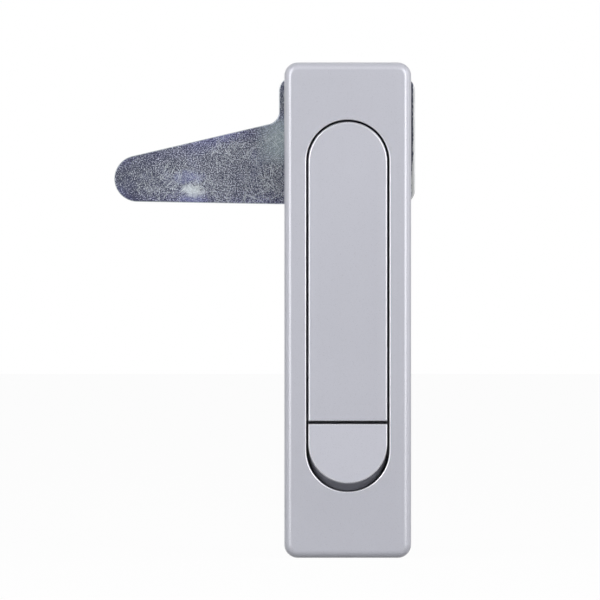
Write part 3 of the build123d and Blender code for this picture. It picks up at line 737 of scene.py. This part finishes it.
CLOSED_TURN_RISE = 2.2     # of a closed turn at a spring's end, in radii of its wire
TURN_SPACING = 1.025       # of the torsion spring's turns, in diameters of its wire
LEG_CLEARANCE = 0.05 * mm  # between the torsion spring's back leg and the yoke's screw
SAME_PLACE = 0.005 * mm    # vertices nearer than this are one


def compression_spring(bm, wire, turns, low, high, axis):
    """A compression spring that fills a box along Y or Z, with a flat closed turn at each end."""
    size, middle = high - low, (low + high) / 2
    if axis == "Y":
        rise, foot = size.y, Vector((middle.x, low.y, middle.z))
        turn = Matrix.Rotation(-pi / 2, 4, "X")
    else:
        rise, foot = size.z, Vector((middle.x, middle.y, low.z))
        turn = Matrix.Identity(4)
    radius = size.x / 2 - wire
    closed, live_turns = CLOSED_TURN_RISE * wire, turns - 2
    # Turns, climb, starting angle and height of the closed foot, live turns and closed head.
    windings = ((1.0, closed, 0.0, wire),
                (live_turns, rise - 2 * wire - 2 * closed, 0.0, wire + closed),
                (1.0, closed, 2 * pi * live_turns, rise - wire - closed))
    for wound, climb, start, above in windings:
        winding = bmesh.new()
        wind_wire(winding, radius, wire, wound, climb, start)
        bmesh.ops.translate(winding, vec=(0, 0, above), verts=winding.verts)
        bmesh.ops.transform(winding, matrix=Matrix.Translation(foot) @ turn, verts=winding.verts)
        mesh = mesh_from("winding", winding)
        bm.from_mesh(mesh)
        bpy.data.meshes.remove(mesh)
    bmesh.ops.remove_doubles(bm, verts=bm.verts, dist=SAME_PLACE)
    close_ends(bm)


class LOCK_OT_springs(bpy.types.Operator):
    """Wind the handle, button and catch springs from round wire"""

    bl_idname = "lock.springs"
    bl_label = "Springs"

    def execute(self, context):
        sizes = context.scene.lock_springs
        wire = spring_wire(context.scene.lock_finish)
        self.torsion(sizes, wire)
        self.buttons(sizes, wire)
        self.catch(sizes, wire)
        return {"FINISHED"}

    def torsion(self, sizes, material):
        """The spring round the pin, whose front leg lies behind the handle's face."""
        bm = bmesh.new()
        width = 2 * sizes.handle_wire * sizes.handle_turns * TURN_SPACING
        first, last = wind_wire(bm, sizes.handle_radius, sizes.handle_wire, sizes.handle_turns,
                                width, start=-pi / 2, hand=-1)
        bmesh.ops.transform(bm, matrix=Matrix.Rotation(pi / 2, 4, "Y"), verts=bm.verts)
        at_pin = Vector((-width / 2, pin_mid.y, pin_mid.z))
        bmesh.ops.translate(bm, vec=at_pin, verts=bm.verts)
        extend_wire(bm, first, Vector((0, 0, -sizes.handle_leg)))
        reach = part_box("yoke_screw")[0].y - LEG_CLEARANCE - pin_mid.y
        extend_wire(bm, last, Vector((0, reach, 0)))
        close_ends(bm)
        piece = make_piece("torsion_spring", bm, material)
        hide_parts("handle_spring")
        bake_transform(piece)

    def buttons(self, sizes, material):
        """The two springs under the button."""
        low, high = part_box("button_springs")
        wide = high.z - low.z
        bm = bmesh.new()
        for x_low in (low.x, high.x - wide):
            compression_spring(bm, sizes.button_wire, sizes.button_turns,
                               Vector((x_low, low.y, low.z)),
                               Vector((x_low + wide, high.y, high.z)), "Y")
        piece = make_piece("button_return_springs", bm, material)
        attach(piece, "case")
        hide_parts("button_springs")
        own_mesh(piece)

    def catch(self, sizes, material):
        """The spring in the catch's slot."""
        low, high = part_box("catch_spring")
        bm = bmesh.new()
        compression_spring(bm, sizes.catch_wire, sizes.catch_turns, low, high, "Z")
        piece = make_piece("catch_return_spring", bm, material)
        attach(piece, "case")
        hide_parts("catch_spring")
        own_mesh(piece)


# ---- Stage ---------------------------------------------------------------------------------------

# The lamps: place, then width and height. Those at the sides stand in pairs, aimed level.
KEY_PLACE, KEY_SIZE = (0.0, -1.1, 0.84), (1.6, 1.0)
STRIP_PLACE, STRIP_SIZE = (0.44, -0.62, 0.04), (0.36, 1.0)
WING_PLACE, WING_SIZE = (0.9, -0.15, 0.30), (0.6, 1.0)

HORIZON = (-0.05, 0.6)            # how steeply a ray climbs where the ground's light turns to sky's
FLOOR_RADIUS, FLOOR_SIDES = 4.0, 96
FLOOR_GAP = 0.1 * mm              # between the lock and the floor
FLOOR_PALE = (0.90, 0.93)         # greys of the floor's grain
FLOOR_SHADOWS = 0.03              # the share of the floor's look that takes light and shadow
FLOOR_TO_LOCK = 0.1               # the grey that the lock is lit by from below
FARTHEST_SEEN = 20.0


def grey(level):
    """A grey."""
    return opaque((level,) * 3)


def studio_world(settings):
    """An even white room whose light falls from above more than from below."""
    world = bpy.data.worlds.new("studio")
    bpy.context.scene.world = world
    n = Nodes(world, "Generated")
    light = n.span(n.axis("Z"), *HORIZON, settings.ground, settings.sky)
    level = n.add("ShaderNodeMix", {"Factor": n.lens_rays(), "A": light, "B": 1.0})
    room = n.tree.nodes["Background"]
    n.feed(room.inputs["Color"], grey(1.0))
    n.feed(room.inputs["Strength"], level.outputs[0])


def studio_floor():
    """A pale floor under the lock, white but for the shadow on it, and clear from below."""
    bm = bmesh.new()
    bmesh.ops.create_circle(bm, cap_ends=True, segments=FLOOR_SIDES, radius=FLOOR_RADIUS)
    bmesh.ops.translate(bm, vec=(0, 0, cad_low.z - FLOOR_GAP), verts=bm.verts)
    floor = put_in_scene("floor", mesh_from("floor", bm))
    r = Recipe("pale_floor")
    glow = r.add("ShaderNodeEmission", {"Color": grey(1.0), "Strength": 1.0})
    pale = r.mix(r.noise("floor_grain"), *(grey(level) for level in FLOOR_PALE))
    plain = r.add("ShaderNodeBsdfDiffuse", {"Color": pale})
    dim = r.add("ShaderNodeBsdfDiffuse", {"Color": grey(FLOOR_TO_LOCK)})
    white = r.mix_shaders(FLOOR_SHADOWS, glow, plain)
    above = r.mix_shaders(r.lens_rays(), dim, white)
    from_below = r.add("ShaderNodeNewGeometry").outputs["Backfacing"]
    sided = r.mix_shaders(from_below, above, r.add("ShaderNodeBsdfTransparent"))
    r.feed(r.tree.nodes["Material Output"].inputs["Surface"], sided.outputs[0])
    floor.data.materials.append(r.material)


def area_light(name, place, aim, size, power):
    """A rectangular lamp that faces a point."""
    data = bpy.data.lights.new(name, "AREA")
    data.shape = "RECTANGLE"
    data.size, data.size_y = size
    data.energy = power
    lamp = put_in_scene(name, data)
    lamp.location = place
    lamp.rotation_euler = (Vector(aim) - Vector(place)).to_track_quat("-Z", "Y").to_euler()


def studio_camera(settings):
    """A long lens square on to the lock's front."""
    data = bpy.data.cameras.new("camera")
    data.lens = data.sensor_width * settings.distance / settings.view_width
    data.clip_end = FARTHEST_SEEN
    camera = put_in_scene("camera", data)
    camera.location = (settings.aim_x, housing_front - settings.distance, settings.aim_z)
    camera.rotation_euler = (pi / 2, 0, 0)
    bpy.context.scene.camera = camera


class LOCK_OT_stage(bpy.types.Operator):
    """Set up the floor, lights, world and camera"""

    bl_idname = "lock.stage"
    bl_label = "Stage"

    def execute(self, context):
        settings = context.scene.lock_stage
        studio_world(settings)
        studio_floor()
        area_light("key", KEY_PLACE, (cad_low + cad_high) / 2, KEY_SIZE, settings.key_power)
        for side, name, wing_power in zip((-1, 1), ("left", "right"), settings.wing_power):
            for kind, (x, y, z), size, power in (
                    ("strip_", STRIP_PLACE, STRIP_SIZE, settings.strip_power),
                    ("wing_", WING_PLACE, WING_SIZE, wing_power)):
                area_light(kind + name, (side * x, y, z), (0, 0, z), size, power)
        studio_camera(settings)
        context.scene.view_settings.view_transform = "Standard"
        return {"FINISHED"}


# ---- Panel and registration ----------------------------------------------------------------------

class LOCK_PT_panel(bpy.types.Panel):
    """Steps and settings of the lock"""

    bl_idname = "LOCK_PT_panel"
    bl_label = "Swing handle lock"
    bl_space_type = "VIEW_3D"
    bl_region_type = "UI"
    bl_category = "Lock"

    def draw(self, context):
        for operator in operators:
            self.layout.operator(operator.bl_idname)
        for group in groups:
            box = self.layout.box()
            settings = getattr(context.scene, group)
            for name in settings.bl_rna.properties.keys():
                if name not in ("rna_type", "name"):
                    box.prop(settings, name)


operators = (LOCK_OT_casting, LOCK_OT_plated, LOCK_OT_hinge, LOCK_OT_rubber, LOCK_OT_springs,
             LOCK_OT_stage)
groups = {
    "lock_finish": FinishSettings,
    "lock_springs": SpringSettings,
    "lock_stage": StageSettings,
}


def register():
    """Registers the classes and hangs the settings on the scene."""
    for made in (*groups.values(), *operators, LOCK_PT_panel):
        bpy.utils.register_class(made)
    for name, group in groups.items():
        setattr(bpy.types.Scene, name, bpy.props.PointerProperty(type=group))


def unregister():
    """Takes the settings and classes away again."""
    for name in groups:
        delattr(bpy.types.Scene, name)
    for made in (LOCK_PT_panel, *reversed(operators), *groups.values()):
        bpy.utils.unregister_class(made)


def main():
    """Runs every step in order."""
    register()
    bpy.ops.lock.casting()
    bpy.ops.lock.plated()
    bpy.ops.lock.hinge()
    bpy.ops.lock.rubber()
    bpy.ops.lock.springs()
    bpy.ops.lock.stage()


if __name__ == "__main__":
    main()
